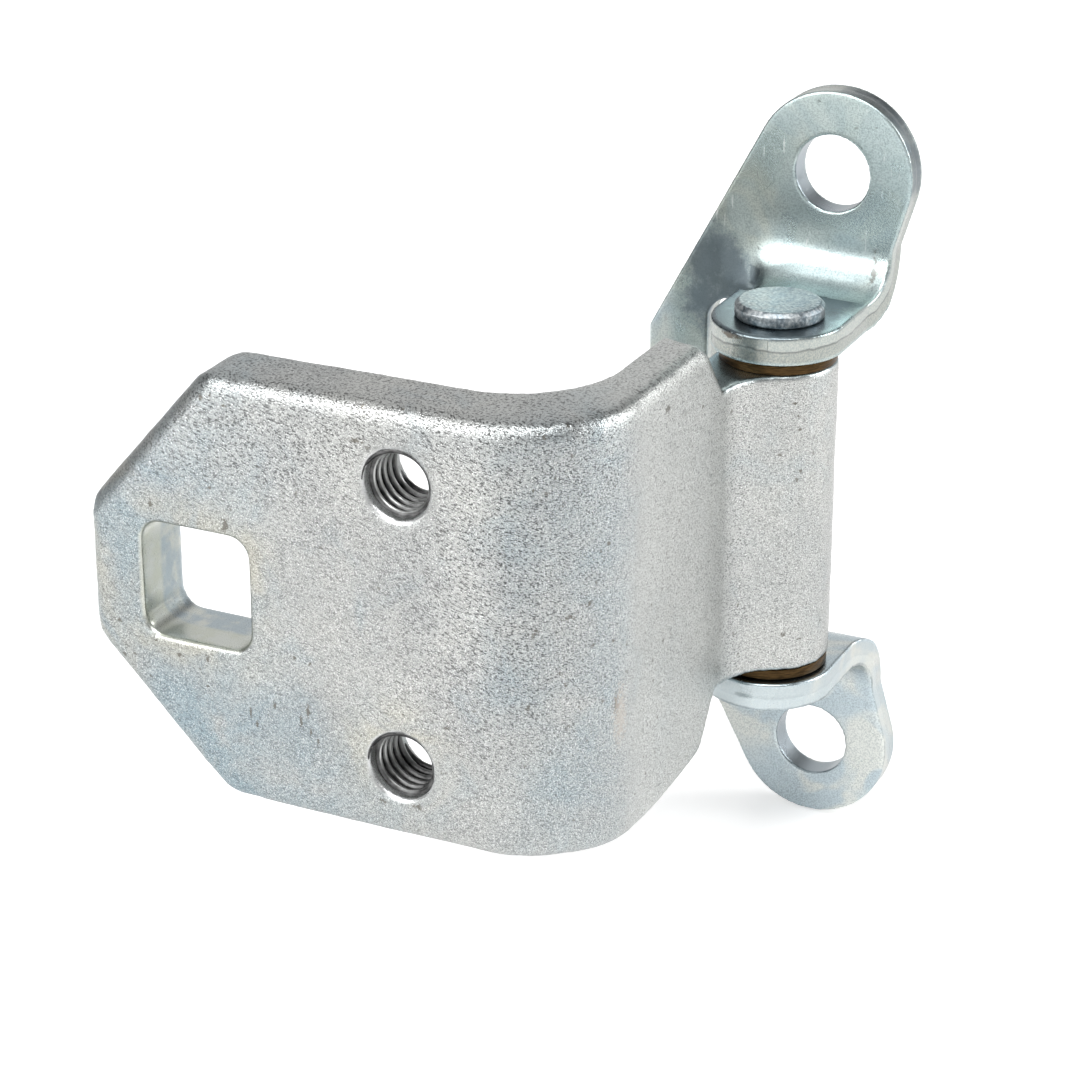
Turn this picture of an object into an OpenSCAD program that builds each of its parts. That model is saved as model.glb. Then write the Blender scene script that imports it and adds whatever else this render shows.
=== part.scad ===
// Car door hinge: a forged door leaf that turns on a headed pin in a stamped pillar bracket.
// The origin is midway between the bracket's two bolt holes, on its mounting face.
// +Y points out of the mounting face into the pillar, and +Z runs up along the pin.
// All lengths are in millimetres.

/* [Leaf plate] */
// Height of the forged leaf
leaf_h = 52; // [48:0.5:60]
// Thickness of the leaf's plate
leaf_t = 9; // [7:0.1:11]
// From the pin's axis to the leaf's front face
leaf_reach = 51; // [46:0.5:60]
// From the pin's axis to the leaf's free edge
leaf_span = 63.8; // [60:0.1:72]
// Width of the upper corner cut at the free edge
corner_cut_w = 15.2; // [10:0.1:19]
// Width of the lower corner cut at the free edge
low_cut_w = 17.2; // [10:0.1:19]
// Height of each corner cut at the free edge
corner_cut_h = 17.5; // [10:0.1:20]
// Radius where each corner cut runs into the upper or lower edge
corner_cut_r = 7; // [3:0.1:9]
// Radius along the edges of the front face
edge_r = 2; // [1:0.1:2.6]
// Outer radius of the right-angle bend
bend_outer_r = 13; // [9:0.1:16]
// Inner radius of the right-angle bend
bend_inner_r = 12.5; // [8:0.1:14]
// Thickness of the flange between bend and knuckle
flange_t = 6; // [5:0.1:7]

/* [Leaf holes] */
// Major diameter of the two tapped holes
tap_d = 8; // [6:0.1:10]
// Spacing of the tapped holes
tap_spacing = 34; // [28:0.1:36]
// From the pin's axis to the tapped holes
tap_from_pin = 23.8; // [22:0.1:27]
// Width of the chamfer at the mouth of each tapped hole
tap_chamfer = 0.3; // [0.1:0.05:0.6]
// Side of the square hole
square_a = 14; // [10:0.1:15]
// Corner radius of the square hole
square_r = 2.6; // [1:0.1:4]
// From the tapped holes to the middle of the square hole
square_from_tap = 25.9; // [22:0.1:27]

/* [Knuckle] */
// Outer diameter of the knuckle
knuckle_d = 14.3; // [13.4:0.1:16]
// Length of the knuckle between its faced ends
knuckle_h = 37.8; // [32:0.1:40]
// Fillet between flange and knuckle
knuckle_fillet = 8; // [4:0.1:10]
// Radius of the facing cut at the knuckle's ends
facing_r = 13.9; // [13:0.1:16]
// Slope of the facing cut's wall, from the pin's axis
facing_angle = 36; // [25:1:45]

/* [Bracket] */
// Sheet thickness of the bracket
sheet_t = 3.5; // [2.5:0.1:4.5]
// Spacing of the bolt holes
bolt_spacing = 75; // [72:0.5:84]
// Diameter of the bolt holes
bolt_d = 9.4; // [8.4:0.1:11]
// Diameter of the round end of each lobe
lobe_d = 20; // [18:0.1:22]
// From the bolt line to the lobe's shoulder, where the ear's bend starts
shoulder_side = 7.9; // [7:0.1:8.6]
// Diameter of the ears round the pin
ear_d = 16; // [14:0.1:17]
// Inner radius of the bend between ear and lobe
ear_bend_r = 5; // [3.5:0.1:6]
// From the mounting face to the pin's axis
pin_stand = 16.6; // [16:0.1:20]
// From the bolt line to the pin's axis
pin_side = 1; // [0:0.1:2.4]
// From the bolt line to the web's free edge
web_side = 23.3; // [22:0.1:27]
// Width of the web behind the knuckle
web_w = 7.8; // [6:0.1:10]
// Height of the web's straight free edge
web_h = 30; // [20:0.5:34]
// Height of the window between the ears
window_h = 40; // [36:0.5:44]
// Corner radius of the window
window_r = 3; // [1:0.1:4]
// Width of the lanced slit beside each ear's bend
slit_w = 0.4; // [0.3:0.1:1]

/* [Pin and bushes] */
// Diameter of the pin's shank
pin_d = 8; // [7:0.1:8.6]
// Diameter of the pin's head
head_d = 10.6; // [9.6:0.1:13]
// Height of the pin's head
head_h = 1.9; // [1.4:0.1:3]
// Chamfer at the top of the head
head_chamfer = 0.5; // [0.2:0.1:0.8]
// Chamfer under the head
seat_chamfer = 0.25; // [0.1:0.05:0.4]
// Diameter of the peened tail
tail_d = 9.6; // [9.2:0.1:11]
// Height of the peened tail
tail_h = 1; // [0.6:0.1:2]
// Wall of the bushes
bush_wall = 1; // [0.6:0.1:1.4]
// Length of each bush inside the knuckle
bush_l = 12; // [8:0.5:15]
// Diameter of the bush's flange
bush_flange_d = 14; // [13:0.1:15]
// Thickness of the bush's flange
bush_flange_t = 1.2; // [0.8:0.1:2]

/* [Clearances] */
// Radial play between pin and bush
pin_play = 0.05; // [0.02:0.01:0.08]
// Play between each bush's flange and its ear
end_play = 0.25; // [0.15:0.05:0.5]

/* [Hidden] */
$fn = 96;
// How far a cutter reaches past the face that it cuts
over = 1;
// How much flatter an edge cutter's arc is than its corner
flatter = 1.01;

pin_x = -pin_side;
pin_y = -pin_stand;
front_y = pin_y - leaf_reach;
free_x = pin_x - leaf_span;
tap_x = pin_x - tap_from_pin;
square_x = tap_x - square_from_tap;
plate_back_y = front_y + leaf_t;
knuckle_r = knuckle_d / 2;
flange_in_x = pin_x - knuckle_r;
flange_out_x = flange_in_x + flange_t;
bend_x = flange_out_x - bend_outer_r;
bend_y = front_y + bend_outer_r;
fillet_x = flange_out_x + knuckle_fillet;
fillet_y = pin_y - sqrt(pow(knuckle_r + knuckle_fillet, 2) - pow(fillet_x - pin_x, 2));

ear_r = ear_d / 2;
ear_left = pin_x - ear_r;
ear_right = pin_x + ear_r;
ear_z = knuckle_h / 2 + bush_flange_t + end_play;
ear_top_z = ear_z + sheet_t;
ear_bend_y = -sheet_t - ear_bend_r;
ear_bend_z = ear_top_z + ear_bend_r;
lobe_r = lobe_d / 2;
lobe_z = bolt_spacing / 2;
bush_bore_r = pin_d / 2 + pin_play;
bush_outer_r = bush_bore_r + bush_wall;

// Point where a line from p touches a circle, on the side given by turn (1 or -1).
function touch_point(p, centre, r, turn) =
  let (d = p - centre, away = norm(d), a = atan2(d[1], d[0]) + turn * acos(min(1, r / away)))
  centre + r * [cos(a), sin(a)];

// What an inscribed arc leaves of a square corner at the origin, towards +X and +Y.
module corner(r, reach = 0) {
  difference() {
    translate([-reach, -reach])
      square(r + reach);
    translate([r, r])
      circle(r);
  }
}

// Moves a flat shape, drawn in X and Z, into the sheet or plate between two depths.
module upright(y_from, y_to) {
  translate([0, y_to, 0])
    rotate([90, 0, 0])
      linear_extrude(y_to - y_from)
        children();
}

// Square hole's outline, round at its corners.
module square_outline() {
  difference() {
    square(square_a, center = true);
    for (turn = [0 : 90 : 270])
      rotate(turn)
        translate([-square_a / 2, -square_a / 2])
          corner(square_r, over);
  }
}

// Section of the leaf's blank: its outer edges, on the +X side at the given depth, are round.
module blank_section(depth) {
  difference() {
    translate([0, -leaf_h / 2])
      square([depth, leaf_h]);
    for (flip = [0, 1])
      mirror([0, flip])
        translate([depth, leaf_h / 2])
          rotate(180)
            corner(edge_r, over);
  }
}

// Plate, bend and flange as one thick blank, round along the edges of its outer face.
// A round core inside the bend overlaps all three.
module leaf_blank() {
  plate_depth = leaf_t + bend_inner_r;
  flange_depth = flange_t + bend_inner_r;
  translate([free_x, front_y + plate_depth, 0])
    rotate([90, 0, 90])
      linear_extrude(bend_x - free_x)
        mirror([1, 0])
          blank_section(plate_depth);
  translate([bend_x, bend_y, 0])
    rotate(-90)
      rotate_extrude(angle = 90)
        blank_section(bend_outer_r);
  translate([bend_x, bend_y, edge_r - leaf_h / 2])
    cylinder(h = leaf_h - 2 * edge_r, r = bend_outer_r - edge_r);
  translate([flange_out_x - flange_depth, pin_y, 0])
    rotate([90, 0, 0])
      linear_extrude(pin_y - bend_y)
        blank_section(flange_depth);
}

// Plan of the open space behind plate and flange, round in its corner.
module space_plan() {
  difference() {
    translate([free_x - over, plate_back_y])
      square([flange_in_x - free_x + over, leaf_reach - leaf_t + over]);
    translate([flange_in_x, plate_back_y])
      rotate(90)
        corner(bend_inner_r, over);
  }
}

// Plan of the fillet that carries the flange's outer face into the knuckle.
module fillet_plan() {
  axis = [pin_x, pin_y];
  middle = [fillet_x, fillet_y];
  along = (middle - axis) / norm(middle - axis);
  difference() {
    polygon([[flange_out_x, fillet_y], middle, axis + knuckle_r * along, axis,
             [flange_out_x, pin_y]]);
    translate(middle)
      circle(knuckle_fillet);
  }
}

// Cutter that rounds a front edge of the plate. It starts at p and runs along a slope.
// Its arc is a hair flatter than the corner, so that it crosses both faces cleanly.
module edge_cutter(p, slope, length) {
  translate([p[0], front_y, p[1]])
    rotate([0, -slope, 0])
      translate([-edge_r, 0, 0])
        rotate([90, 0, 90])
          linear_extrude(length + 2 * edge_r)
            difference() {
              translate([-over, -edge_r])
                square(edge_r + over);
              translate([edge_r, -edge_r])
                circle(edge_r * flatter);
            }
}

// Corner cut of a given width at the free edge of the leaf's upper half.
// It is round where it runs into the upper edge, and its front edge is round.
module corner_cutter(width) {
  side = leaf_h / 2 - corner_cut_h;
  slope = atan2(corner_cut_h, width);
  run = corner_cut_r * tan(slope / 2);
  top = [free_x + width, leaf_h / 2];
  from = top - run * [cos(slope), sin(slope)];
  to = top + [run, 0];
  middle = to - [0, corner_cut_r];
  upright(front_y - over, plate_back_y + bend_inner_r + over) {
    polygon([[free_x - width, side - corner_cut_h], [free_x - width, leaf_h / 2 + corner_cut_h],
             [free_x + 2 * width, leaf_h / 2 + corner_cut_h]]);
    difference() {
      polygon([middle, from, top + [-over, over], to + [0, over], to]);
      translate(middle)
        circle(corner_cut_r * flatter);
    }
  }
  edge_cutter([free_x, side], slope, norm([corner_cut_h, width]));
}

// Facing cut over one end of the knuckle: a flat floor inside a sloping wall.
module facing_cut() {
  depth = (leaf_h - knuckle_h) / 2 + over;
  translate([pin_x, pin_y, knuckle_h / 2])
    cylinder(h = depth, r1 = facing_r, r2 = facing_r + depth * tan(facing_angle));
}

// Tapped hole at its major diameter, with a chamfered mouth on the front face.
module tapped_hole(z) {
  translate([tap_x, front_y, z])
    rotate([-90, 0, 0]) {
      translate([0, 0, -over])
        cylinder(h = leaf_t + 2 * over, d = tap_d);
      translate([0, 0, -over])
        cylinder(h = over + tap_chamfer, r1 = tap_d / 2 + tap_chamfer + over, r2 = tap_d / 2);
    }
}

module forged_leaf() {
  side = leaf_h / 2 - corner_cut_h;
  color([0.74, 0.75, 0.75])
    difference() {
      union() {
        difference() {
          leaf_blank();
          translate([0, 0, -leaf_h / 2 - over])
            linear_extrude(leaf_h + 2 * over)
              space_plan();
          edge_cutter([free_x, -side], 90, 2 * side);
          corner_cutter(corner_cut_w);
          mirror([0, 0, 1])
            corner_cutter(low_cut_w);
        }
        translate([0, 0, -knuckle_h / 2])
          linear_extrude(knuckle_h)
            fillet_plan();
        translate([pin_x, pin_y, -knuckle_h / 2])
          cylinder(h = knuckle_h, r = knuckle_r);
      }
      for (flip = [0, 1])
        mirror([0, 0, flip])
          facing_cut();
      for (z = [-tap_spacing / 2, tap_spacing / 2])
        tapped_hole(z);
      translate([square_x, 0, 0])
        upright(front_y - over, plate_back_y + over)
          square_outline();
      translate([pin_x, pin_y, -knuckle_h / 2 - over])
        cylinder(h = knuckle_h + 2 * over, r = bush_outer_r);
    }
}

// Front view of the bracket's upper half: lobe, web and the flat beside the ear's bend.
module bracket_half() {
  lobe = [0, lobe_z];
  web_top = [-web_side, web_h / 2];
  shoulder = [shoulder_side, ear_bend_z];
  web_in = web_w - web_side;
  polygon([[-web_side, 0], web_top, touch_point(web_top, lobe, lobe_r, -1), lobe,
           touch_point(shoulder, lobe, lobe_r, 1), shoulder, [ear_left - slit_w, ear_bend_z],
           [ear_left - slit_w, window_h / 2], [web_in, window_h / 2], [web_in, 0]]);
  translate(lobe)
    circle(lobe_r);
  translate([web_in, window_h / 2])
    rotate(-90)
      corner(window_r);
}

// Section of an ear's bend, about the bend's axis, with a short leg into ear and lobe.
module bend_section() {
  outer = ear_bend_r + sheet_t;
  intersection() {
    difference() {
      circle(outer);
      circle(ear_bend_r);
    }
    translate([0, -outer])
      square(outer);
  }
  translate([-over, -outer])
    square([over, sheet_t]);
  translate([ear_bend_r, 0])
    square([sheet_t, over]);
}

// Plan of an ear's bend, which narrows from the lobe's shoulder to the ear.
module bend_plan() {
  polygon([[ear_left, ear_bend_y - over], [ear_left, over], [shoulder_side, over],
           [shoulder_side, -sheet_t], [ear_right, ear_bend_y], [ear_right, ear_bend_y - over]]);
}

// Ear round the pin and the bend that carries it into the lobe, for the upper half.
module bracket_ear() {
  translate([pin_x, pin_y, ear_z])
    cylinder(h = sheet_t, r = ear_r);
  translate([ear_left, pin_y, ear_z])
    cube([ear_d, ear_bend_y - pin_y, sheet_t]);
  intersection() {
    translate([ear_left - over, ear_bend_y, ear_bend_z])
      rotate([90, 0, 90])
        linear_extrude(shoulder_side - ear_left + 2 * over)
          bend_section();
    translate([0, 0, ear_z - over])
      linear_extrude(ear_bend_z - ear_z + 3 * over)
        bend_plan();
  }
}

module stamped_bracket() {
  color([0.66, 0.71, 0.72])
    difference() {
      for (flip = [0, 1])
        mirror([0, 0, flip]) {
          upright(-sheet_t, 0)
            bracket_half();
          bracket_ear();
        }
      for (z = [-lobe_z, lobe_z])
        translate([0, over, z])
          rotate([90, 0, 0])
            cylinder(h = sheet_t + 2 * over, d = bolt_d);
      translate([pin_x, pin_y, -ear_top_z - over])
        cylinder(h = 2 * (ear_top_z + over), d = pin_d);
    }
}

module hinge_pin() {
  tail_z = -ear_top_z;
  color([0.7, 0.73, 0.76])
    translate([pin_x, pin_y, 0])
      rotate_extrude()
        polygon([[0, tail_z - tail_h], [pin_d / 2, tail_z - tail_h], [tail_d / 2, tail_z - tail_h / 2],
                 [tail_d / 2, tail_z], [pin_d / 2, tail_z], [pin_d / 2, ear_top_z],
                 [head_d / 2 - seat_chamfer, ear_top_z], [head_d / 2, ear_top_z + seat_chamfer],
                 [head_d / 2, ear_top_z + head_h - head_chamfer],
                 [head_d / 2 - head_chamfer, ear_top_z + head_h], [0, ear_top_z + head_h]]);
}

// Flanged bush with its flange on the upper end of the knuckle.
module bush() {
  seat_z = knuckle_h / 2;
  color([0.55, 0.38, 0.2])
    translate([pin_x, pin_y, 0])
      rotate_extrude()
        polygon([[bush_bore_r, seat_z - bush_l], [bush_outer_r, seat_z - bush_l], [bush_outer_r, seat_z],
                 [bush_flange_d / 2, seat_z], [bush_flange_d / 2, seat_z + bush_flange_t],
                 [bush_bore_r, seat_z + bush_flange_t]]);
}

module upper_bush() {
  bush();
}

module lower_bush() {
  mirror([0, 0, 1])
    bush();
}

forged_leaf();
stamped_bracket();
hinge_pin();
upper_bush();
lower_bush();
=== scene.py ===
# %% [markdown]
# # A car door hinge
# The hinge has five pieces: a thick forged leaf that bolts to the door, a stamped bracket that
# bolts to the pillar, a headed pin, and two bronze bushes. The CAD model gives their sizes and
# their places. This lesson dresses them: real edges, screw threads, and zinc that looks plated.

# %% Load the frame
import math

import bmesh
import bpy
from mathutils import Matrix, Vector, noise
from mathutils.bvhtree import BVHTree


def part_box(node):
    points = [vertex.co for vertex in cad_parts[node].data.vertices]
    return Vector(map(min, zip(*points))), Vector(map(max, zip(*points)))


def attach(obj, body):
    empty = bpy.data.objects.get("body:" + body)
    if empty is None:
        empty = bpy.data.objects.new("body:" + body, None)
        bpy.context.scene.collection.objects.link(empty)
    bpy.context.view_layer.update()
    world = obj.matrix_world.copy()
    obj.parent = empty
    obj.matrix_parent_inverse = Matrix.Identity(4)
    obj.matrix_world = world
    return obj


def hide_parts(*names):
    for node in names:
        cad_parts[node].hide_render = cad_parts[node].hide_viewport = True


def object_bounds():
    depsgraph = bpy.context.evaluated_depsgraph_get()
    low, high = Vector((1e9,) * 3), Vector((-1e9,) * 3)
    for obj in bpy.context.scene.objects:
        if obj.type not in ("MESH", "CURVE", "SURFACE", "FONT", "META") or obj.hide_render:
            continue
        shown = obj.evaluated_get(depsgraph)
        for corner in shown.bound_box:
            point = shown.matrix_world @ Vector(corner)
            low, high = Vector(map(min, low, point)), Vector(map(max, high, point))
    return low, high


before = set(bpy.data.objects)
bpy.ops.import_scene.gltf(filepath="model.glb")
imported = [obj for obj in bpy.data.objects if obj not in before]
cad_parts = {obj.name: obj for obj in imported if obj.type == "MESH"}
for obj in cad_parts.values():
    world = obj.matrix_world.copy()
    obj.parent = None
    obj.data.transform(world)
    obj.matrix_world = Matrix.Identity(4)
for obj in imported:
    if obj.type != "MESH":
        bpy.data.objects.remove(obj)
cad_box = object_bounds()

scene = bpy.context.scene
MM = 0.001
print("CAD nodes:", sorted(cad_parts))

# %% [markdown]
# ## Where things are
# The script can't read the CAD source, so the places that it needs are measured from the packed
# nodes, or written down once in millimetres. The pin's axis runs along Z, the plate's front face
# looks along -Y, and the bracket's sheet lies against the plane Y = 0.

# %% Measure the nodes
leaf_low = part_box("forged_leaf")[0]
pin_low, pin_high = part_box("hinge_pin")
AXIS = Vector(((pin_low.x + pin_high.x) / 2, (pin_low.y + pin_high.y) / 2, 0))
FRONT_Y = leaf_low.y
TAP_X = AXIS.x - 23.8 * MM
TAP_Z = 17 * MM
KNUCKLE_TOP = 18.9 * MM
print("pin axis at", [round(c / MM, 2) for c in AXIS], "mm")

# %% [markdown]
# ## The camera
# The photograph looks down on the hinge from the right, with a long lens. Its place was found
# by matching corners and hole centres of the CAD model with the picture, so the matrix is
# written out: the columns are the camera's right, up and back directions.

# %% Place the camera
lens = bpy.data.cameras.new("camera")
lens.sensor_width = 36
lens.lens = 106.86
lens.clip_start = 0.01
camera = bpy.data.objects.new("camera", lens)
scene.collection.objects.link(camera)
right = Vector((0.901031, 0.433754, 0.000383))
up = Vector((-0.17374, 0.36010, 0.91659))
back = Vector((0.397437, -0.825944, 0.399826))
placed = Matrix((right, up, back)).transposed().to_4x4()
placed.translation = (0.127168, -0.347465, 0.149484)
camera.matrix_world = placed
scene.camera = camera
scene.view_settings.view_transform = "Standard"
print("camera", round(camera.location.length / MM), "mm from the origin")

# %% [markdown]
# ## Helpers for patterns
# A node material is a chain of sockets. Each helper here adds one node, and takes either a
# number or another node's output, so that a finish reads from top to bottom. These make
# patterns: noise, dots, distances, and a smooth step from one value to another.

# %% Pattern helpers
def feed(tree, socket, value):
    if isinstance(value, bpy.types.NodeSocket):
        tree.links.new(value, socket)
    else:
        socket.default_value = value


def grain(tree, place, scale, detail=3, roughness=0.55, distortion=0):
    made = tree.nodes.new("ShaderNodeTexNoise")
    feed(tree, made.inputs["Vector"], place)
    made.inputs["Scale"].default_value = scale
    made.inputs["Detail"].default_value = detail
    made.inputs["Roughness"].default_value = roughness
    made.inputs["Distortion"].default_value = distortion
    return made.outputs["Fac"]


def specks(tree, place, scale):
    made = tree.nodes.new("ShaderNodeTexVoronoi")
    feed(tree, made.inputs["Vector"], place)
    made.inputs["Scale"].default_value = scale
    return made.outputs["Distance"]


def length(tree, vector):
    made = tree.nodes.new("ShaderNodeVectorMath")
    made.operation = "LENGTH"
    tree.links.new(vector, made.inputs[0])
    return made.outputs["Value"]


def mapped(tree, place, move=(0, 0, 0), turn=(0, 0, 0), size=(1, 1, 1)):
    made = tree.nodes.new("ShaderNodeMapping")
    feed(tree, made.inputs["Vector"], place)
    made.inputs["Location"].default_value = move
    made.inputs["Rotation"].default_value = turn
    made.inputs["Scale"].default_value = size
    return made.outputs["Vector"]


def span(tree, value, low, high, to_low=0, to_high=1):
    made = tree.nodes.new("ShaderNodeMapRange")
    made.interpolation_type = "SMOOTHSTEP"
    feed(tree, made.inputs["Value"], value)
    made.inputs["From Min"].default_value = low
    made.inputs["From Max"].default_value = high
    made.inputs["To Min"].default_value = to_low
    made.inputs["To Max"].default_value = to_high
    return made.outputs["Result"]


def maths(tree, operation, a, b):
    made = tree.nodes.new("ShaderNodeMath")
    made.operation = operation
    feed(tree, made.inputs[0], a)
    feed(tree, made.inputs[1], b)
    return made.outputs["Value"]


print("pattern helpers ready")

# %% [markdown]
# ## Helpers for finishes
# These turn patterns into a metal. A mask is a value stored on the points of a mesh, so a finish
# can follow the shape. Every finish of this hinge is metal, so one helper wires them all.

# %% Finish helpers
MIX_A, MIX_B, MIX_OUT = 6, 7, 2  # the colour sockets of a Mix node


def times(tree, a, b):
    return maths(tree, "MULTIPLY", a, b)


def tint(tree, amount, a, b, mode="MIX"):
    made = tree.nodes.new("ShaderNodeMix")
    made.data_type = "RGBA"
    made.blend_type = mode
    feed(tree, made.inputs["Factor"], amount)
    for socket, value in ((made.inputs[MIX_A], a), (made.inputs[MIX_B], b)):
        feed(tree, socket, value if isinstance(value, bpy.types.NodeSocket) else (*value, 1))
    return made.outputs[MIX_OUT]


def mask(tree, name):
    made = tree.nodes.new("ShaderNodeAttribute")
    made.attribute_name = name
    return made.outputs["Fac"]


def raised(tree, height, depth, below=None):
    made = tree.nodes.new("ShaderNodeBump")
    made.inputs["Distance"].default_value = depth
    feed(tree, made.inputs["Height"], height)
    if below is not None:
        feed(tree, made.inputs["Normal"], below)
    return made.outputs["Normal"]


def new_finish(name):
    made = bpy.data.materials.new(name)
    made.use_nodes = True
    tree = made.node_tree
    return made, tree, tree.nodes.new("ShaderNodeTexCoord").outputs["Object"]


def wire_metal(tree, colour, roughness, relief):
    shader = tree.nodes["Principled BSDF"]
    shader.inputs["Metallic"].default_value = 1
    tree.links.new(colour, shader.inputs["Base Color"])
    tree.links.new(roughness, shader.inputs["Roughness"])
    tree.links.new(relief, shader.inputs["Normal"])


print("finish helpers ready")

# %% [markdown]
# ## The floor
# The hinge was photographed on white. A pale floor catches its soft shadow. To the camera it
# glows, more so far away, so that it stays white up to the horizon. The metal sees it dimmer,
# because a bright floor would wash out the lamps in the reflections.

# %% Make the floor
FLOOR_Z = cad_box[0][2] - 0.3 * MM
FLOOR_HALF = 3.0
NEAR_GLOW, FAR_GLOW, MIRRORED_GLOW = 0.5, 1, 0.3
bm = bmesh.new()
bmesh.ops.create_grid(bm, x_segments=1, y_segments=1, size=FLOOR_HALF)
bmesh.ops.translate(bm, verts=bm.verts, vec=(0, 0, FLOOR_Z))
floor_mesh = bpy.data.meshes.new("floor")
bm.to_mesh(floor_mesh)
bm.free()
floor = bpy.data.objects.new("floor", floor_mesh)
scene.collection.objects.link(floor)
pale, tree, place = new_finish("pale_floor")
matt = tree.nodes["Principled BSDF"]
matt.inputs["Base Color"].default_value = (0.9, 0.9, 0.9, 1)
matt.inputs["Roughness"].default_value = 0.9
matt.inputs["Specular IOR Level"].default_value = 0
matt.inputs["Emission Color"].default_value = (1, 1, 1, 1)
path = tree.nodes.new("ShaderNodeLightPath").outputs
mirrored = maths(tree, "MAXIMUM", path["Is Glossy Ray"], path["Is Transmission Ray"])
white = span(tree, length(tree, place), 0.15, 0.7, NEAR_GLOW, FAR_GLOW)
glow = maths(tree, "ADD", times(tree, path["Is Camera Ray"], white),
             times(tree, mirrored, MIRRORED_GLOW))
tree.links.new(glow, matt.inputs["Emission Strength"])
floor_mesh.materials.append(pale)
print("floor at", round(FLOOR_Z / MM, 2), "mm")

# %% [markdown]
# ## The room
# The camera sees a white world. Metal mirrors its room, so the room has a plan: it is dark above
# on the right and low on the far left, and white elsewhere. Those dark parts give the sheet its
# blue-grey depth beside the bright bend.

# %% Make the world
DIM = 0.2
world = bpy.data.worlds.new("studio")
scene.world = world
world.use_nodes = True
tree = world.node_tree
sky = tree.nodes["Background"]
sky.inputs["Color"].default_value = (1, 1, 1, 1)
path = tree.nodes.new("ShaderNodeLightPath").outputs
mirrored = maths(tree, "MAXIMUM", path["Is Glossy Ray"], path["Is Transmission Ray"])
toward = tree.nodes.new("ShaderNodeSeparateXYZ")
tree.links.new(tree.nodes.new("ShaderNodeTexCoord").outputs["Generated"], toward.inputs[0])
above = times(tree, span(tree, toward.outputs["Z"], 0.05, 0.45, 0, 0.72),
              span(tree, toward.outputs["X"], -0.3, 0.2, 0.25, 1))
room = times(tree, span(tree, toward.outputs["X"], -0.95, -0.45, DIM, 1),
             maths(tree, "SUBTRACT", 1, above))
light = maths(tree, "MAXIMUM", times(tree, mirrored, room), DIM)
tree.links.new(maths(tree, "MAXIMUM", light, path["Is Camera Ray"]), sky.inputs["Strength"])
print("world white to the camera,", DIM, "as a light")

# %% [markdown]
# ## The lamps
# Three soft boxes of the same size stand round the hinge. The front one, on the left, draws the
# bright lines on the rounded edges. The top one lights the bend of the upper ear, and the side
# one the right edges. The photograph's highlights show where such boxes stood.

# %% Hang the lamps
BOX_AWAY, BOX_SIDE = 0.8, 0.5
LAMPS = (("front_box", (-0.44, -0.76, 0.48), 4.2),
         ("top_box", (0.18, -0.36, 0.91), 4.0),
         ("side_box", (0.78, 0.45, 0.40), 4.0))
for name, direction, power in LAMPS:
    lamp = bpy.data.lights.new(name, "AREA")
    lamp.shape = "SQUARE"
    lamp.size = BOX_SIDE
    lamp.energy = power
    box = bpy.data.objects.new(name, lamp)
    scene.collection.objects.link(box)
    direction = Vector(direction).normalized()
    box.matrix_world = direction.to_track_quat("Z", "Y").to_matrix().to_4x4()
    box.location = direction * BOX_AWAY + Vector((-0.02, -0.04, 0))
print(len(LAMPS), "lamps")

# %% [markdown]
# ## An even skin over a CAD solid
# A CAD mesh has long thin triangles, which can't hold a dent or a worn edge. The copy is merged,
# remeshed into small even squares, and each point is put back on the solid, so flat faces stay
# flat. A few smoothing passes then round the sharp edges by about the size of one square.

# %% Skin helpers
WELD = 0.001 * MM


def new_piece(name):
    piece = bpy.data.objects.new(name, bpy.data.meshes.new(name))
    scene.collection.objects.link(piece)
    return piece


def smooth(bm, verts, passes):
    for _ in range(passes):
        bmesh.ops.smooth_vert(bm, verts=verts, factor=0.5,
                              use_axis_x=True, use_axis_y=True, use_axis_z=True)


def even_skin(node, name, square, passes, fillers=()):
    bm = bmesh.new()
    bm.from_mesh(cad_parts[node].data)
    bmesh.ops.remove_doubles(bm, verts=bm.verts, dist=WELD)
    for low, high in fillers:
        low, high = Vector(low), Vector(high)
        block = Matrix.Translation((low + high) / 2) @ Matrix.Diagonal((*(high - low), 1))
        bmesh.ops.create_cube(bm, size=1, matrix=block)
    solid = BVHTree.FromBMesh(bm)
    piece = new_piece(name)
    rough = piece.data
    bm.to_mesh(rough)
    bm.free()
    remesh = piece.modifiers.new("even_squares", "REMESH")
    remesh.mode = "VOXEL"
    remesh.voxel_size = square
    graph = bpy.context.evaluated_depsgraph_get()
    skin = bpy.data.meshes.new_from_object(piece.evaluated_get(graph))
    piece.modifiers.clear()
    piece.data = skin
    bpy.data.meshes.remove(rough)
    bm = bmesh.new()
    bm.from_mesh(skin)
    for v in bm.verts:
        v.co = solid.find_nearest(v.co)[0]
    smooth(bm, bm.verts, passes)
    bm.normal_update()
    return piece, bm


def settle(piece, bm, finish, slot, body, *nodes):
    for face in bm.faces:
        face.smooth = True
    bm.to_mesh(piece.data)
    bm.free()
    piece.data.name = piece.name
    piece.data.materials.clear()
    piece.data.materials.append(finish)
    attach(piece, body)
    if nodes:
        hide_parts(*nodes)
    print(piece.name, len(piece.data.polygons), "faces")


print("skin helpers ready")

# %% [markdown]
# ## Masks on the points
# A finish has to know where a face was cut, punched or rubbed. Each point gets a few values
# between 0 and 1 for that. The values ease from one to the other over a given distance, because
# a hard step would show the squares of the skin.

# %% Mask helpers
def ease(value, low, high):
    t = min(1, max(0, (value - low) / (high - low)))
    return t * t * (3 - 2 * t)


def ease_mm(distance, low, high):
    return ease(distance / MM, low, high)


def put_masks(bm, marks):
    layers = {name: bm.verts.layers.float.new(name) for name in marks(Vector((0, 0, 0)))}
    for v in bm.verts:
        for name, value in marks(v.co).items():
            v[layers[name]] = value
    return layers


print("mask helpers ready")

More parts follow.
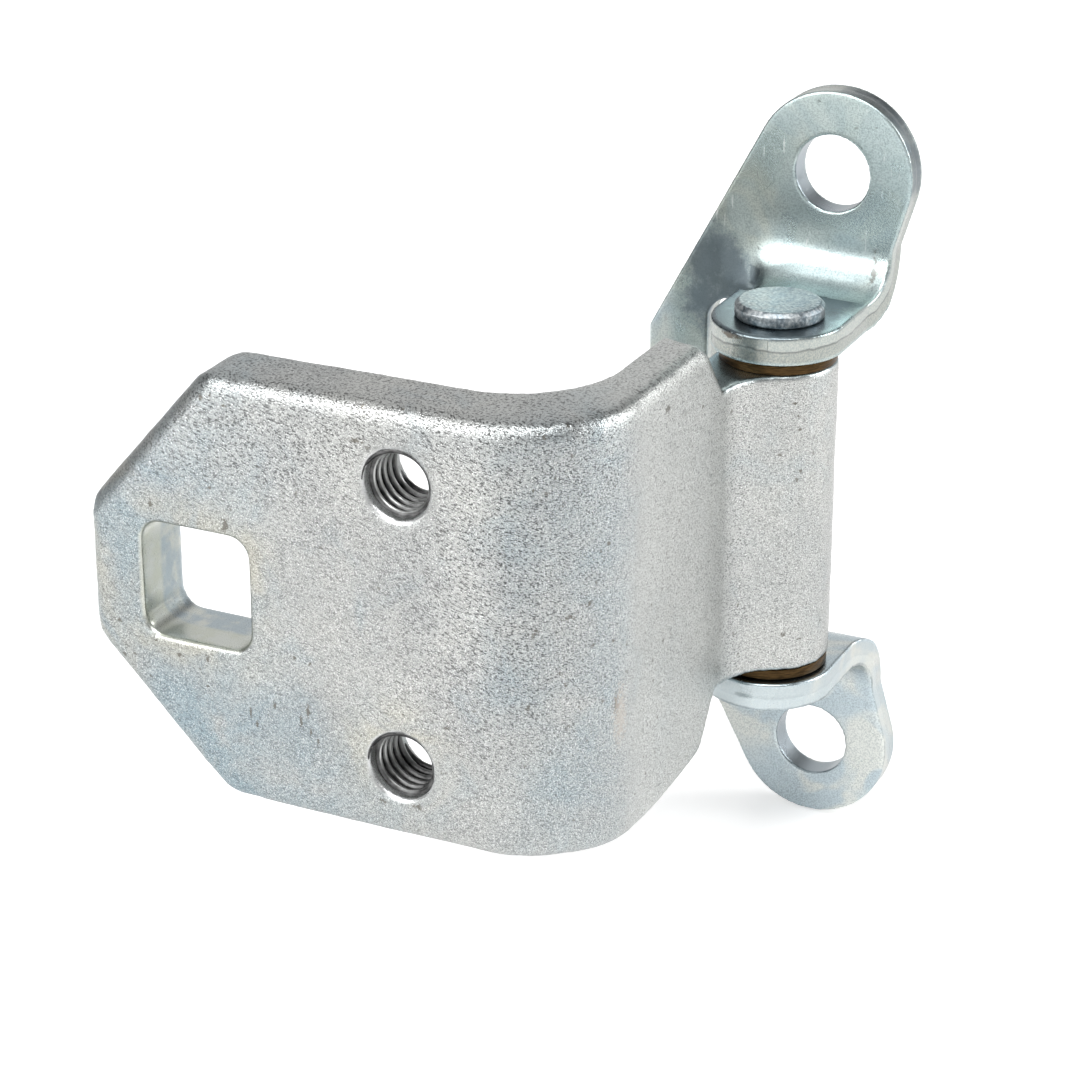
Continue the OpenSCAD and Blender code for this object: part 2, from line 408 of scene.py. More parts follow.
# %% [markdown]
# ## The forged leaf
# The leaf was hammered hot and sand-blasted before plating. Its knuckle's ends were faced on a
# lathe, the square hole was punched and the threaded holes were reamed first. Those places are
# kept as masks, with the drift of warm and cool tints and where the blasting is coarsest. One more
# mask, flank, paints light: it makes the flange and the knuckle lighter, as if lit from the side.

# %% Skin the leaf and mark it
PLATE = 9 * MM
FACING_R = 13.9 * MM
FACING_SLOPE = math.tan(math.radians(36))
SQUARE_X = TAP_X - 25.9 * MM
SQUARE_HALF, SQUARE_R = 7 * MM, 2.6 * MM


def from_square(x, z):
    side = SQUARE_HALF - SQUARE_R
    dx, dz = abs(x - SQUARE_X) - side, abs(z) - side
    return math.hypot(max(dx, 0), max(dz, 0)) + min(max(dx, dz), 0) - SQUARE_R


def cut_marks(x, y, z, out):
    wall = FACING_R + (abs(z) - KNUCKLE_TOP) * FACING_SLOPE
    end_face = ease_mm(abs(z) - KNUCKLE_TOP, -0.5, -0.1) * ease_mm(wall - out, -0.3, 0.1)
    bush_bore = ease_mm(-out, -5.6, -5.2)
    on_plate = y < FRONT_Y + PLATE + 0.1 * MM and x < TAP_X
    from_tap = math.hypot(x - TAP_X, abs(z) - TAP_Z)
    return {"faced": max(end_face, bush_bore),
            "punched": ease_mm(-from_square(x, z), -0.3, -0.1) if on_plate else 0,
            # The reamed ring marks each tapped hole's machined mouth; its bright colour is partly
            # a painted highlight.
            "reamed_ring_highlight": ease_mm(-from_tap, -4.5, -4.2),
            "depth": (y - FRONT_Y) / PLATE}


def tint_marks(x, y, z, out):
    on_face = ease_mm(-y, 50, 60)
    from_tap = math.hypot(x - TAP_X, abs(z) - TAP_Z)
    from_low_tap = math.hypot(x - TAP_X, z + TAP_Z)
    free_edge = ease_mm(leaf_low.x - x, -9, 0)
    round_holes = max(ease_mm(-from_square(x, z), -6, 0), ease_mm(-from_low_tap, -10, -4))
    low_left = ease_mm(-x, 18, 50) * ease_mm(-z, 0, 20)
    far_left = ease_mm(-x, 34, 56)
    round_bend = ease_mm(x, -18, -6) * on_face
    toward_bend = math.exp(-((x + 13 * MM) / (11 * MM)) ** 2)
    hammered = max(toward_bend * ease_mm(z, -26, 4), 0.85 * ease_mm(z, 6, 20)) * on_face
    blasted = max(0.45 + 0.55 * hammered, 0.7 * (1 - on_face) * ease_mm(out, 8, 9))
    return {"warm": max(free_edge * 0.8, round_holes),
            "cool": max(low_left, 0.6 * far_left, 0.4 * round_bend),
            "coarse": blasted * (0.5 + 0.5 * ease_mm(from_tap, 4.8, 6)),
            # flank is painted light: the flange and knuckle are lightened, most on the flange, as
            # if lit from the side.
            "flank": (1 - on_face) * (0.3 + 0.4 * ease_mm(out, 10, 15))}


def leaf_marks(co):
    out = math.hypot(co.x - AXIS.x, co.y - AXIS.y)
    return {**cut_marks(*co, out), **tint_marks(*co, out)}


leaf, bm = even_skin("forged_leaf", "leaf", 0.42 * MM, 3)
leaf_layers = put_masks(bm, leaf_marks)
print("leaf skin", len(bm.verts), "points")

# %% [markdown]
# ## Worn corners and forging waves
# Hot metal doesn't fill a die's corners, so the slanted front edges are rounder than the CAD
# model's, most of all the upper one. The flange's lower edge swells a little, and the broad
# faces wave. All of this is real shape, moved inward or within the leaf's own box.

# %% Shape the leaf
UPPER_CORNER, LOWER_CORNER = (-49.6, 26), (-47.6, -26)
LEFT_CORNERS = (-64.8, 8.5), (-64.8, -8.5)
WAVES = ((90, 0.09 * MM), (330, 0.04 * MM), (900, 0.03 * MM))
SWELL = 1.2 * MM


def round_front_edge(bm, corner, outward, radius):
    outward = Vector(outward).normalized()
    for v in bm.verts:
        x, z = v.co.x - corner[0] * MM, v.co.z - corner[1] * MM
        inside = -x * outward.x - z * outward.y
        behind = v.co.y - FRONT_Y
        far = math.hypot(radius - inside, radius - behind)
        if inside < radius and behind < radius and far > radius:
            pull = 1 - radius / far
            v.co.x -= outward.x * (radius - inside) * pull
            v.co.z -= outward.y * (radius - inside) * pull
            v.co.y += (radius - behind) * pull


def soften(bm, corners, reach, passes, behind):
    near = [v for v in bm.verts if v.co.y < FRONT_Y + behind
            and min(math.hypot(v.co.x - x * MM, v.co.z - z * MM) for x, z in corners) < reach]
    smooth(bm, near, passes)


round_front_edge(bm, UPPER_CORNER, (-17.5, 15.2), 3.4 * MM)
round_front_edge(bm, LOWER_CORNER, (-17.5, -17.2), 1.8 * MM)
round_front_edge(bm, (-64.8, 0), (-1, 0), 1.6 * MM)
soften(bm, (UPPER_CORNER, LOWER_CORNER), 4.5 * MM, 10, 3 * MM)
soften(bm, LEFT_CORNERS, 2 * MM, 8, 12 * MM)
bm.normal_update()
for v in bm.verts:
    x, y, z = v.co
    along = (y + 63 * MM) / (28 * MM)
    if 0 < along < 1 and x > -15 * MM:
        v.co.z -= SWELL * math.sin(math.pi * along) * ease_mm(-z, 15, 26)
    forged = 1 - max(v[leaf_layers["faced"]], v[leaf_layers["punched"]])
    v.co += v.normal * forged * sum(noise.noise(v.co * fine) * high for fine, high in WAVES)
    v.co.x = max(v.co.x, leaf_low.x)
    v.co.y = max(v.co.y, leaf_low.y)
bm.normal_update()
print("leaf waves up to", round(sum(high for _, high in WAVES) / MM, 2), "mm")

# %% [markdown]
# ## Small marks
# A used part has nicks, and each is a small ragged spot. A spot is a stretched distance from a
# point with noise added to it, cut off by a smooth step. The list holds where such marks lie, in
# millimetres. Marks on the plate need only X, Z and two sizes.

# %% Place the nicks
PLATE_NICKS = [
    (-49.0, 23.1, 0.35, 0.4), (-47.9, 23.4, 0.35, 0.4), (-29.6, 21.5, 1.3, 0.3),
    (-56.0, 9.2, 0.4, 0.6), (-46.4, 8.5, 0.5, 0.9), (-40.8, -12.7, 0.2, 0.7),
    (-36.5, -12.6, 0.25, 1.0), (-49.4, -8.6, 0.3, 0.7), (-37.4, -14.0, 0.2, 0.8),
    (-36.2, -15.2, 0.2, 0.8), (-35.3, -16.2, 0.2, 0.6), (-44.0, -14.2, 0.2, 0.9),
    (-43.2, -15.6, 0.2, 0.5), (-53.1, -9.0, 0.5, 0.3), (-22.6, -21.5, 0.6, 0.4),
    (-27.0, -21.8, 0.5, 0.3)]
BEND_NICKS = [
    ((-2.4, -46.4, 22.4), (2, 0.8, 0.6)), ((-6.4, -65.1, 16.7), (0.4, 1, 0.6)),
    ((-3.2, -61.8, -1.4), (0.5, 0.8, 0.5)), ((-5.5, -64.5, 3.6), (1.2, 1.5, 0.4)),
    ((-8.8, -66.5, 2.0), (0.6, 1, 0.6)), ((-9.5, -66.8, -6.8), (0.3, 1, 0.6)),
    ((-4.0, -62.2, 4.8), (0.7, 1, 0.5)), ((-2.7, -58.2, -8.6), (0.5, 0.5, 1.6))]
NICKS = BEND_NICKS + [((x, FRONT_Y / MM, z), (wide, 2, tall)) for x, z, wide, tall in PLATE_NICKS]


def spot(tree, place, centre, size, ragged):
    near = mapped(tree, place, move=[-c / n for c, n in zip(centre, size)],
                  size=[1 / (n * MM) for n in size])
    away = maths(tree, "ADD", length(tree, near), times(tree, ragged, 4))
    return span(tree, away, 2.4, 3.0, 1, 0)


print(len(NICKS), "nicks")

# %% [markdown]
# ## Zinc on a forging
# Zinc on blasted steel is a pale grey with fine grain and short dark dashes, which lie along the
# way the steel was drawn. Near-white specks are also painted into the colour as a painted glint.
# The passivation gives it blue and straw tints that drift over a centimetre or two. The bump is
# kept weak, because a strong one makes metal look like stone.

# %% Leaf colour
INK = (0.13, 0.12, 0.10)
DASH_TURN = (0, -0.3, 0)


def forging_tints(tree, place):
    cloud = grain(tree, place, 75, 4, 0.6)
    drift = grain(tree, place, 120, 4, 0.55, 0.8)
    colour = tint(tree, span(tree, cloud, 0.36, 0.66), (0.395, 0.405, 0.40), (0.465, 0.47, 0.455))
    blue = times(tree, mask(tree, "cool"), span(tree, drift, 0.3, 0.6, 0.25, 0.9))
    blue = maths(tree, "ADD", blue, span(tree, drift, 0.52, 0.75, 0, 0.35))
    colour = tint(tree, blue, colour, (0.30, 0.375, 0.41))
    straw = times(tree, mask(tree, "warm"), span(tree, drift, 0.35, 0.6, 0.7, 0.1))
    colour = tint(tree, straw, colour, (0.50, 0.485, 0.41))
    # Painted light: the flank mask lightens the flange and knuckle, as if lit from the side.
    return tint(tree, mask(tree, "flank"), colour, (0.58, 0.595, 0.58))


def forging_wear(tree, place, colour):
    ragged = grain(tree, place, 3000, 3, 0.65)
    dots = maths(tree, "ADD", specks(tree, place, 520), times(tree, ragged, 0.7))
    pits = times(tree, span(tree, dots, 0.40, 0.50, 1, 0),
                 span(tree, grain(tree, place, 110, 2), 0.5, 0.6))
    for centre, size in NICKS:
        pits = maths(tree, "MAXIMUM", pits, spot(tree, place, centre, size, ragged))
    colour = tint(tree, times(tree, pits, 0.8), colour, INK)
    scuff = spot(tree, place, (-2.5, -57.5, -10.4), (2, 1.3, 3.8), ragged)
    return tint(tree, times(tree, scuff, 0.65), colour, (0.47, 0.43, 0.385))


def lathe_rings(tree, place, fineness):
    ring = tree.nodes.new("ShaderNodeTexNoise")
    ring.noise_dimensions = "1D"
    round_axis = mapped(tree, place, move=(-AXIS.x, -AXIS.y, 0), size=(1, 1, 0))
    tree.links.new(length(tree, round_axis), ring.inputs["W"])
    ring.inputs["Scale"].default_value = fineness
    ring.inputs["Detail"].default_value = 2
    return ring.outputs["Fac"]


def forging_cuts(tree, place, colour):
    halfway = span(tree, mask(tree, "depth"), 0.42, 0.52)
    punched = tint(tree, halfway, (0.56, 0.58, 0.51), (0.42, 0.48, 0.51))
    patchy = span(tree, grain(tree, place, 400, 3), 0.4, 0.65)
    punched = tint(tree, patchy, punched, (0.60, 0.62, 0.58))
    colour = tint(tree, mask(tree, "punched"), colour, punched)
    rings = span(tree, lathe_rings(tree, place, 6000), 0.35, 0.65)
    turned_end = tint(tree, rings, (0.32, 0.38, 0.40), (0.46, 0.51, 0.52))
    colour = tint(tree, mask(tree, "faced"), colour, turned_end)
    # A bright ring at each tapped hole's mouth: a machined finish, and partly a painted highlight.
    return tint(tree, mask(tree, "reamed_ring_highlight"), colour, (0.62, 0.63, 0.63))


print("leaf colours ready")

# %% [markdown]
# ## Put the leaf's finish together
# The parts above are stacked in the order in which they came to be: plating tints, blasted grain,
# wear, and last the places where a tool cut. The relief is weakest where a tool cut, since the
# blasting came before.

# %% Leaf finish
def forged_zinc():
    made, tree, place = new_finish("zinc_on_forging")
    colour = forging_tints(tree, place)
    turned_grain = mapped(tree, place, turn=DASH_TURN)
    dashes = grain(tree, mapped(tree, turned_grain, size=(0.36, 0.5, 1)), 7000, 1.5, 0.6)
    grain_and_painted_glint = grain(tree, place, 8000, 1, 0.6)
    dashed = tint(tree, 1, colour, span(tree, dashes, 0.36, 0.51, 0.26, 1.1), "MULTIPLY")
    colour = tint(tree, mask(tree, "coarse"), colour, dashed)
    colour = tint(tree, 1, colour, span(tree, grain_and_painted_glint, 0.30, 0.56, 0.62, 1.08), "MULTIPLY")
    # Painted glint: near-white specks laid into the colour.
    colour = tint(tree, span(tree, grain_and_painted_glint, 0.58, 0.72, 0, 0.6), colour, (0.9, 0.9, 0.89))
    colour = forging_wear(tree, place, colour)
    colour = forging_cuts(tree, place, colour)
    tooled = maths(tree, "MAXIMUM", mask(tree, "faced"), mask(tree, "punched"))
    blasted = maths(tree, "SUBTRACT", 1, tooled)
    lumps = times(tree, dashes, times(tree, mask(tree, "coarse"), blasted))
    relief = raised(tree, lumps, 0.10 * MM)
    relief = raised(tree, times(tree, grain_and_painted_glint, blasted), 0.03 * MM, relief)
    wire_metal(tree, colour, span(tree, grain_and_painted_glint, 0.3, 0.7, 0.36, 0.26), relief)
    return made


settle(leaf, bm, forged_zinc(), "plated_forging", "leaf", "forged_leaf")

# %% [markdown]
# ## The screw threads
# Each tapped hole is cut with an M8 thread of 1.25 mm pitch. A thread is a ridge that winds along
# the bore, so a small ridge section is spun about the hole's axis and moved along it at each
# step. Over the first and last quarter turn the ridge rises out of the wall, as a tap leaves it.
# A ridge turned inside out would be lit wrongly, so the sign of its volume is checked.

# %% Wind the threads
PITCH = 1.25 * MM
TURNS, STEPS = 6, 64
ROOT_R = 4.12 * MM
RIDGE = [(4.12, -0.61), (3.62, -0.24), (3.46, -0.12), (3.40, 0),
         (3.46, 0.12), (3.62, 0.24), (4.12, 0.61)]


def wind_thread(z):
    start = FRONT_Y + 0.66 * MM
    bm = bmesh.new()
    corners = [bm.verts.new((TAP_X - r * MM, start + along * MM, z)) for r, along in RIDGE]
    end = bm.faces.new(corners)
    bmesh.ops.spin(bm, geom=[end] + corners + list(end.edges), cent=(TAP_X, start, z),
                   axis=(0, 1, 0), dvec=(0, PITCH / STEPS, 0), angle=2 * math.pi * TURNS,
                   steps=STEPS * TURNS, use_duplicate=False)
    for count, v in enumerate(bm.verts):
        step = count // len(RIDGE)
        rise = ease(step, 0, STEPS // 4) * ease(STEPS * TURNS - step, 0, STEPS // 4)
        out = math.hypot(v.co.x - TAP_X, v.co.z - z)
        stretch = (out + (ROOT_R - out) * (1 - rise)) / out
        v.co.x = TAP_X + (v.co.x - TAP_X) * stretch
        v.co.z = z + (v.co.z - z) * stretch
    bmesh.ops.dissolve_degenerate(bm, edges=bm.edges, dist=WELD)
    bmesh.ops.recalc_face_normals(bm, faces=bm.faces)
    if bm.calc_volume(signed=True) < 0:
        bmesh.ops.reverse_faces(bm, faces=bm.faces)
    return bm


def cut_thread():
    made, tree, place = new_finish("cut_thread")
    rub = grain(tree, place, 900, 3)
    flank = tint(tree, span(tree, rub, 0.35, 0.7), (0.05, 0.05, 0.05), (0.15, 0.15, 0.15))
    colour = tint(tree, mask(tree, "crest"), flank, (0.72, 0.73, 0.72))
    wire_metal(tree, colour, span(tree, rub, 0.3, 0.7, 0.28, 0.45), raised(tree, rub, 0.03 * MM))
    return made


dark_steel = cut_thread()
for name, z, darker_below in (("upper_thread", TAP_Z, 0.2), ("lower_thread", -TAP_Z, 0.8)):
    bm = wind_thread(z)
    crest = bm.verts.layers.float.new("crest")
    for v in bm.verts:
        v[crest] = ease_mm(-math.hypot(v.co.x - TAP_X, v.co.z - z), -3.60, -3.46)
        # Darker towards the bottom of each hole: the crests lose their brightness below the axis,
        # much more in the lower hole.
        v[crest] *= 1 - darker_below * ease_mm(z - v.co.z, -0.5, 2)
    settle(new_piece(name), bm, dark_steel, "plated_forging", "leaf")

# %% [markdown]
# ## The stamped bracket
# The bracket is cut from sheet and bent. In the photograph each bend runs out into the web at its
# left end, where the CAD model has a thin slit. Two small blocks close the slit before the skin
# is made. Many smoothing passes, weighted to that place alone, then draw the end of the bend out.

# %% Skin the bracket and draw out its bends
SHEET = 3.5 * MM
EAR_BEND_R = 5 * MM
EAR_BEND_Y = -SHEET - EAR_BEND_R
EAR_BEND_Z = 28.85 * MM
EAR_LOW = EAR_BEND_Z - EAR_BEND_R - SHEET
EAR_LEFT = AXIS.x - 8 * MM
SLIT_LOW, SLIT_HIGH = 20 * MM, EAR_BEND_Z
SLIT_X = EAR_LEFT - 0.5 * MM, EAR_LEFT + 0.1 * MM
DRAWN_PASSES = 700


def flare(co):
    across, high = (co.x - EAR_LEFT) / MM, abs(co.z) / MM
    if not (-10 * MM < co.y < -SHEET + 0.3 * MM and 21.5 < high < 34):
        return 0
    return (ease(across, -5.5, -3.5) * ease(-across, -15, 1)
            * ease(high, 21.5, 23) * ease(-high, -34, -29))


fillers = [((SLIT_X[0], -SHEET, low), (SLIT_X[1], 0, high))
           for low, high in ((SLIT_LOW, SLIT_HIGH), (-SLIT_HIGH, -SLIT_LOW))]
bracket, bm = even_skin("stamped_bracket", "bracket", 0.26 * MM, 1, fillers)
drawn = [(v, v.co.copy(), flare(v.co)) for v in bm.verts if flare(v.co) > 0]
smooth(bm, [v for v, _, _ in drawn], DRAWN_PASSES)
for v, was, amount in drawn:
    v.co = was.lerp(v.co, amount)
bm.normal_update()
print("bracket skin", len(bm.verts), "points,", len(drawn), "of them drawn out")

# %% [markdown]
# ## The torn edge
# A punched edge shows how it was made: near the punch side it is smooth and bright, and below that
# the metal tore and is dull. A value that runs from 0 on the front of the sheet to 1 on its back,
# also round the bends, lets the shape and the finish follow that tear. A second mask holds painted
# shade. It lies in the recess beside the bends, on the ear's top, at the ear's left end, on the
# upper right rim and in a thin line along the front edges. It stands in for the dark that those
# places mirror and damps their highlights.

# %% Mark the bracket and tear its edges
BOLT_Z = 37.5 * MM
TEAR_AT = 0.46


def through_sheet(co):
    y, z = co.y, abs(co.z)
    on_web = z >= EAR_BEND_Z or y > -WELD or z < EAR_LOW - 0.2 * MM
    if not on_web and y <= EAR_BEND_Y:
        return (EAR_LOW + SHEET - z) / SHEET
    if not on_web and co.x > AXIS.x - 8.2 * MM:
        return (math.hypot(y - EAR_BEND_Y, z - EAR_BEND_Z) - EAR_BEND_R) / SHEET
    return (y + SHEET) / SHEET


# Painted shade mask: darkens the recess beside the bends, the ear's top and left end, the upper
# right rim and a thin line along the front edges.
def painted_shade_mask(co, t, cut):
    x, y, z = co
    high = 31 + 5 * ease_mm(-x, 9, 13)
    painted_shade = (ease_mm(x, -23, -15) * ease_mm(-x, 1, 13) * ease_mm(-y, 2, 3)
            * ease_mm(abs(z), 11, 20) * ease_mm(-abs(z), -high, -high + 13))
    if z > 20 * MM and y < EAR_BEND_Y:
        painted_shade = ease_mm(z - EAR_LOW - SHEET, -0.3, 0) * ease_mm(-x, -8, -4)
    if abs(x - EAR_LEFT) < 0.8 * MM and y > -10 * MM and abs(z) < 25 * MM:
        painted_shade = max(painted_shade, 0.8)
    shaded_rim = cut * ease_mm(0.8 * x + 0.6 * (z - BOLT_Z), 5, 8)
    shaded_front_edge = ease(t, 0.005, 0.03) * ease(-t, -0.16, -0.09)
    return max(painted_shade, 0.8 * shaded_rim, 0.5 * shaded_front_edge)


def bracket_marks(co):
    t = through_sheet(co)
    in_bend_end = flare(co) > 0 and abs(co.x - EAR_LEFT) < 4 * MM
    cut = 0 if in_bend_end else ease(t, 0.03, 0.10) * ease(1 - t, 0.06, 0.14)
    # Painted light: the low mask makes the lower lobe and the web's lower left paler, and it also
    # quiets the crack there.
    painted_light_web_left = ease_mm(-co.x, 19, 21.5) * ease_mm(-co.z, -24, -17)
    wander = 0.10 * noise.noise(co * 260) + 0.05 * noise.noise(co * 900)
    return {"cut": cut, "tear": t - TEAR_AT - wander, "shade": painted_shade_mask(co, t, cut),
            "low": max(ease_mm(-co.z, 12, 22), 0.7 * painted_light_web_left),
            "bore": ease_mm(-math.hypot(co.x, abs(co.z) - BOLT_Z), -5.1, -4.85)}


sheet_layers = put_masks(bm, bracket_marks)
for v in bm.verts:
    cut, tear, bore = (v[sheet_layers[name]] for name in ("cut", "tear", "bore"))
    torn = cut * (1 - bore) * ease(tear, 0, 0.08)
    wave = noise.noise(v.co * 120) * 0.03 * (1 - cut)
    ragged = torn * (-0.07 + 0.03 * noise.noise(v.co * 1500))
    v.co += v.normal * (wave + ragged) * MM
    v.co.y = min(v.co.y, 0)
bm.normal_update()
print("bracket masks:", ", ".join(sheet_layers))

# %% [markdown]
# ## Zinc on sheet
# Sheet steel is smooth, so its zinc mirrors the room softly and looks darker and bluer than the
# forging. Light scratches and a few dots lie on it, and dark rubbed spots show where the ears were
# gripped by the press. The lower lobe and the web's lower left are painted paler, a painted light
# for the brighter room that they mirror.

# %% Bracket colour
RUBBED = [((6.0, -4.6, 26.4), (0.7, 1.6, 2.4)), ((4.2, -12.9, 23.85), (0.9, 1.4, 0.5)),
          ((-4.6, -23.8, 23.3), (2.6, 1.0, 0.45))]


def rubbed_spots(tree, place):
    smudge = grain(tree, place, 600, 5, 0.7)
    worn = 0
    for centre, size in RUBBED:
        worn = maths(tree, "MAXIMUM", worn, spot(tree, place, centre, size, smudge))
    return worn


def sheet_tints(tree, place, cloud, pale, drift):
    colour = tint(tree, span(tree, cloud, 0.35, 0.68), (0.44, 0.53, 0.52), (0.55, 0.63, 0.61))
    straw = span(tree, grain(tree, place, 95, 1), 0.5, 0.7, 0, 0.55)
    colour = tint(tree, straw, colour, (0.56, 0.58, 0.50))
    colour = tint(tree, span(tree, drift, 0.3, 1, 0.4, 0), colour, (0.39, 0.485, 0.51))
    dots = maths(tree, "ADD", specks(tree, place, 600),
                 times(tree, grain(tree, place, 2200, 2), 0.7))
    dots = times(tree, span(tree, dots, 0.39, 0.46, 1, 0), span(tree, cloud, 0.48, 0.56))
    colour = tint(tree, times(tree, dots, 0.5), colour, (0.15, 0.16, 0.15))
    # Painted light: the face turns paler on the lower lobe and the web's lower left.
    return tint(tree, times(tree, mask(tree, "low"), 0.85), colour, pale)


def cut_edge(tree, cloud, fine, pale):
    tear, low = mask(tree, "tear"), mask(tree, "low")
    rough = span(tree, fine, 0.35, 0.65)
    bright = tint(tree, rough, (0.36, 0.40, 0.39), (0.50, 0.52, 0.48))
    dull = tint(tree, rough, (0.28, 0.31, 0.30), (0.43, 0.44, 0.40))
    edge = tint(tree, span(tree, tear, -0.03, 0.03), bright, dull)
    crack = times(tree, span(tree, tear, -0.05, 0.02), span(tree, tear, 0.02, 0.09, 1, 0))
    crack = times(tree, crack, span(tree, low, 0, 1, 0.7, 0.25))
    edge = tint(tree, crack, edge, (0.14, 0.15, 0.15))
    # Painted light: the cut edge turns paler there too.
    edge = tint(tree, times(tree, low, 0.6), edge, pale)
    # Painted shade: the bolt holes' walls get a darker blue than the face.
    shaded_bore_wall = tint(tree, cloud, (0.20, 0.24, 0.28), (0.45, 0.50, 0.52))
    return tint(tree, mask(tree, "bore"), edge, shaded_bore_wall)


print(len(RUBBED), "rubbed spots")

# %% [markdown]
# ## Put the bracket's finish together
# The face and the cut edge are coloured apart and joined by the mask of the cut. The painted shade
# comes last. Noise is added to its mask before the smooth step, so that its border breaks up into
# blotches.

# %% Bracket finish
def sheet_zinc():
    made, tree, place = new_finish("zinc_on_sheet")
    cloud = grain(tree, place, 130, 2, 0.5)
    fine = grain(tree, place, 5200, 3, 0.6)
    drift = span(tree, grain(tree, place, 110, 2, 0.5, 1.2), 0.42, 0.6)
    # pale is the colour of the painted light on the lower lobe and the web's lower left.
    pale = tint(tree, drift, (0.56, 0.64, 0.68), (0.76, 0.77, 0.73))
    colour = sheet_tints(tree, place, cloud, pale, drift)
    speckled = tint(tree, 1, colour, (0.68, 0.70, 0.72), "MULTIPLY")
    colour = tint(tree, span(tree, fine, 0.34, 0.6), speckled, colour)
    streaks = grain(tree, mapped(tree, place, turn=(0, 0.5, 0), size=(1, 1, 0.08)), 2200, 2)
    rare = span(tree, grain(tree, place, 330, 2), 0.46, 0.6)
    scratch = times(tree, span(tree, streaks, 0.64, 0.74), rare)
    colour = tint(tree, times(tree, scratch, 0.5), colour, (0.85, 0.87, 0.85))
    worn = rubbed_spots(tree, place)
    colour = tint(tree, times(tree, worn, 0.8), colour, (0.12, 0.11, 0.10))
    edge = cut_edge(tree, cloud, fine, pale)
    edge = tint(tree, times(tree, worn, 0.85), edge, (0.12, 0.10, 0.08))
    colour = tint(tree, mask(tree, "cut"), colour, edge)
    # Painted shade: a dark blue-black laid over the colour where the shade mask is.
    painted_shade = tint(tree, span(tree, cloud, 0.3, 0.7), (0.065, 0.085, 0.10), (0.14, 0.175, 0.20))
    painted_shade_amount = maths(tree, "SUBTRACT", grain(tree, place, 260, 6, 0.75), 0.5)
    painted_shade_amount = maths(tree, "ADD", mask(tree, "shade"), times(tree, painted_shade_amount, 1.6))
    colour = tint(tree, span(tree, painted_shade_amount, 0.15, 0.95, 0, 0.88), colour, painted_shade)
    relief = raised(tree, scratch, 0.02 * MM, raised(tree, fine, 0.02 * MM))
    wire_metal(tree, colour, span(tree, cloud, 0.3, 0.7, 0.25, 0.31), relief)
    return made


settle(bracket, bm, sheet_zinc(), "plated_sheet", "bracket", "stamped_bracket")

# %% [markdown]
# ## Turned pieces
# The pin and the bushes were turned on a lathe, so a half section is spun about the pin's axis.
# The sharp rings are then bevelled, because a turned edge always has a small break that catches
# the light.

# %% Lathe helper
SPIN_STEPS = 128
SHARP = math.radians(25)


def turned(section, closed, rounding):
    bm = bmesh.new()
    corners = [bm.verts.new((AXIS.x + r * MM, AXIS.y, z * MM)) for r, z in section]
    edges = [bm.edges.new(pair) for pair in zip(corners, corners[1:])]
    if closed:
        edges.append(bm.edges.new((corners[-1], corners[0])))
    bmesh.ops.spin(bm, geom=corners + edges, cent=AXIS, axis=(0, 0, 1), angle=2 * math.pi,
                   steps=SPIN_STEPS, use_merge=True)
    bmesh.ops.remove_doubles(bm, verts=bm.verts, dist=WELD)
    bmesh.ops.recalc_face_normals(bm, faces=bm.faces)
    sharp = [e for e in bm.edges if len(e.link_faces) == 2 and e.calc_face_angle() > SHARP]
    bmesh.ops.bevel(bm, geom=sharp, offset=rounding, offset_type="OFFSET", segments=3,
                    profile=0.5, affect="EDGES", material=-1)
    return bm


print("lathe ready,", SPIN_STEPS, "steps a turn")

# %% [markdown]
# ## The pin
# The pin's head sits on the upper ear and its tail was peened over below the lower ear. Its zinc
# is rougher than the sheet's, and bright specks are painted into its colour as a painted glint.

# %% Turn the pin
HEAD_H, HEAD_R, PIN_R, TAIL_R = 1.9, 5.3, 4, 4.8


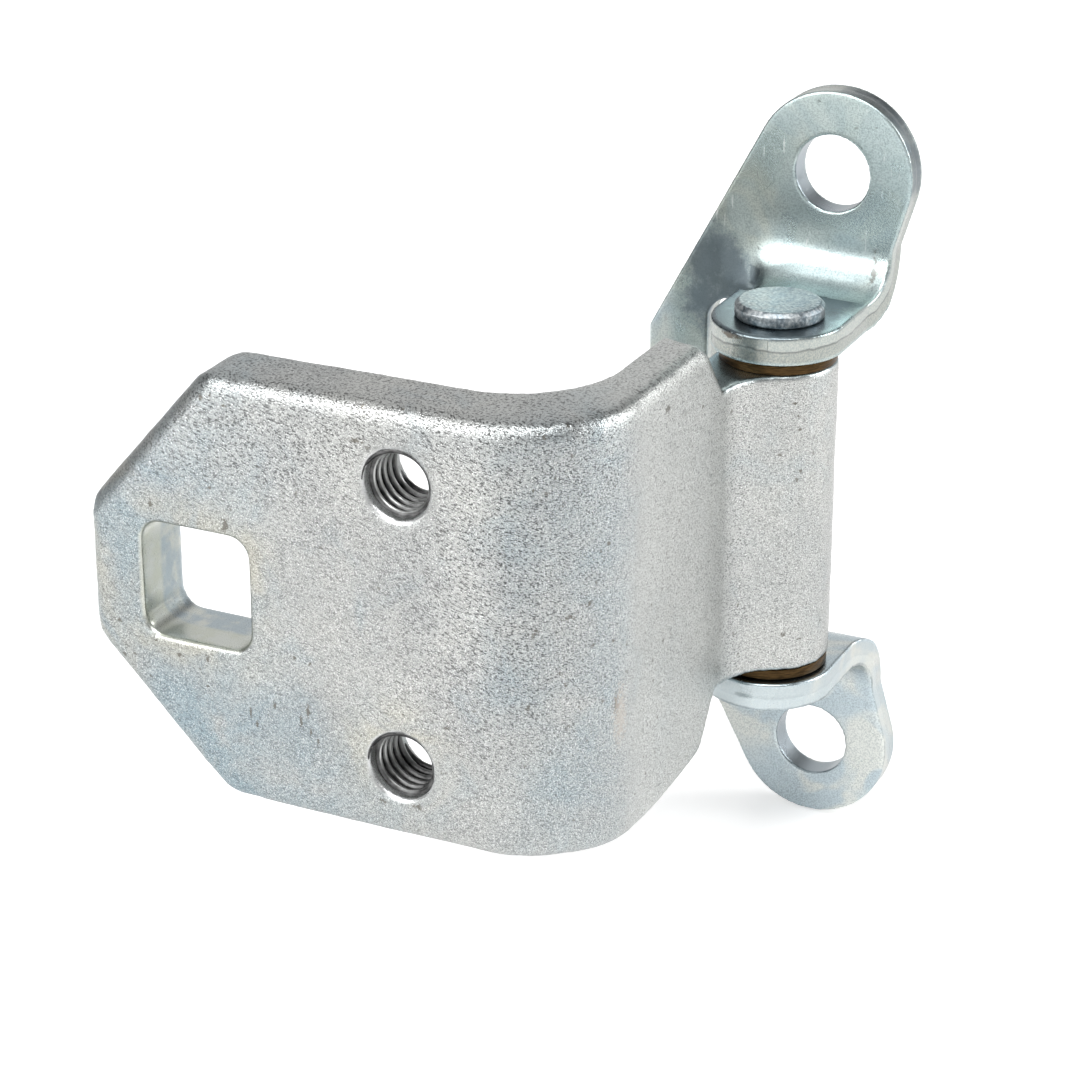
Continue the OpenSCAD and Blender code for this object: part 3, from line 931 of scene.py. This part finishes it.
def pin_zinc():
    made, tree, place = new_finish("zinc_on_pin")
    cloud = grain(tree, place, 900, 4, 0.6)
    fine = grain(tree, place, 2600, 3)
    colour = tint(tree, span(tree, cloud, 0.38, 0.62), (0.22, 0.26, 0.285), (0.40, 0.43, 0.44))
    dulled = tint(tree, 1, colour, (0.6, 0.62, 0.64), "MULTIPLY")
    colour = tint(tree, span(tree, fine, 0.36, 0.56), dulled, colour)
    # Painted glint: light specks laid into the pin's colour.
    colour = tint(tree, span(tree, fine, 0.56, 0.68, 0, 0.6), colour, (0.62, 0.65, 0.66))
    wire_metal(tree, colour, span(tree, cloud, 0.3, 0.7, 0.32, 0.5), raised(tree, fine, 0.05 * MM))
    return made


head_top, tail_low = pin_high.z / MM, pin_low.z / MM
ear_top = head_top - HEAD_H
pin_section = [
    (0, tail_low), (PIN_R, tail_low), (TAIL_R, tail_low + 0.5), (TAIL_R, tail_low + 1),
    (PIN_R, tail_low + 1), (PIN_R, ear_top), (HEAD_R - 0.25, ear_top), (HEAD_R, ear_top + 0.25),
    (HEAD_R, head_top - 0.5), (HEAD_R - 0.5, head_top), (0, head_top)]
pin_bm = turned(pin_section, False, 0.1 * MM)
settle(new_piece("pin"), pin_bm, pin_zinc(), "plated_pin", "bracket", "hinge_pin")

# %% [markdown]
# ## The bushes
# A bush is a bronze tube with a flange, pressed into each end of the knuckle. Only the rim of its
# flange shows. It is dark and a little brown, with fine lines round it from the lathe.

# %% Turn the bushes
BUSH_LONG, FLANGE = 12, 1.2
BORE_R, BUSH_R, FLANGE_R = 4.05, 5.05, 7


def bush_bronze():
    made, tree, place = new_finish("bronze")
    lines = grain(tree, mapped(tree, place, size=(1, 1, 8)), 900, 3)
    colour = tint(tree, span(tree, lines, 0.3, 0.7), (0.03, 0.019, 0.009), (0.10, 0.06, 0.025))
    wire_metal(tree, colour, span(tree, lines, 0.3, 0.7, 0.3, 0.5), raised(tree, lines, 0.02 * MM))
    return made


bronze = bush_bronze()
seat = KNUCKLE_TOP / MM
bush_section = [(BORE_R, seat - BUSH_LONG), (BUSH_R, seat - BUSH_LONG), (BUSH_R, seat),
                (FLANGE_R, seat), (FLANGE_R, seat + FLANGE), (BORE_R, seat + FLANGE)]
for name, node, end in (("bush_top", "upper_bush", 1), ("bush_bottom", "lower_bush", -1)):
    bush_bm = turned([(r, end * z) for r, z in bush_section], True, 0.12 * MM)
    settle(new_piece(name), bush_bm, bronze, "bronze", "leaf", node)

# %% [markdown]
# ## The CAD box
# The dressed hinge may not outgrow the CAD model, so the CAD model's box is printed.

# %% Print the CAD box
print("CAD box", [[round(n / MM, 2) for n in c] for c in cad_box])
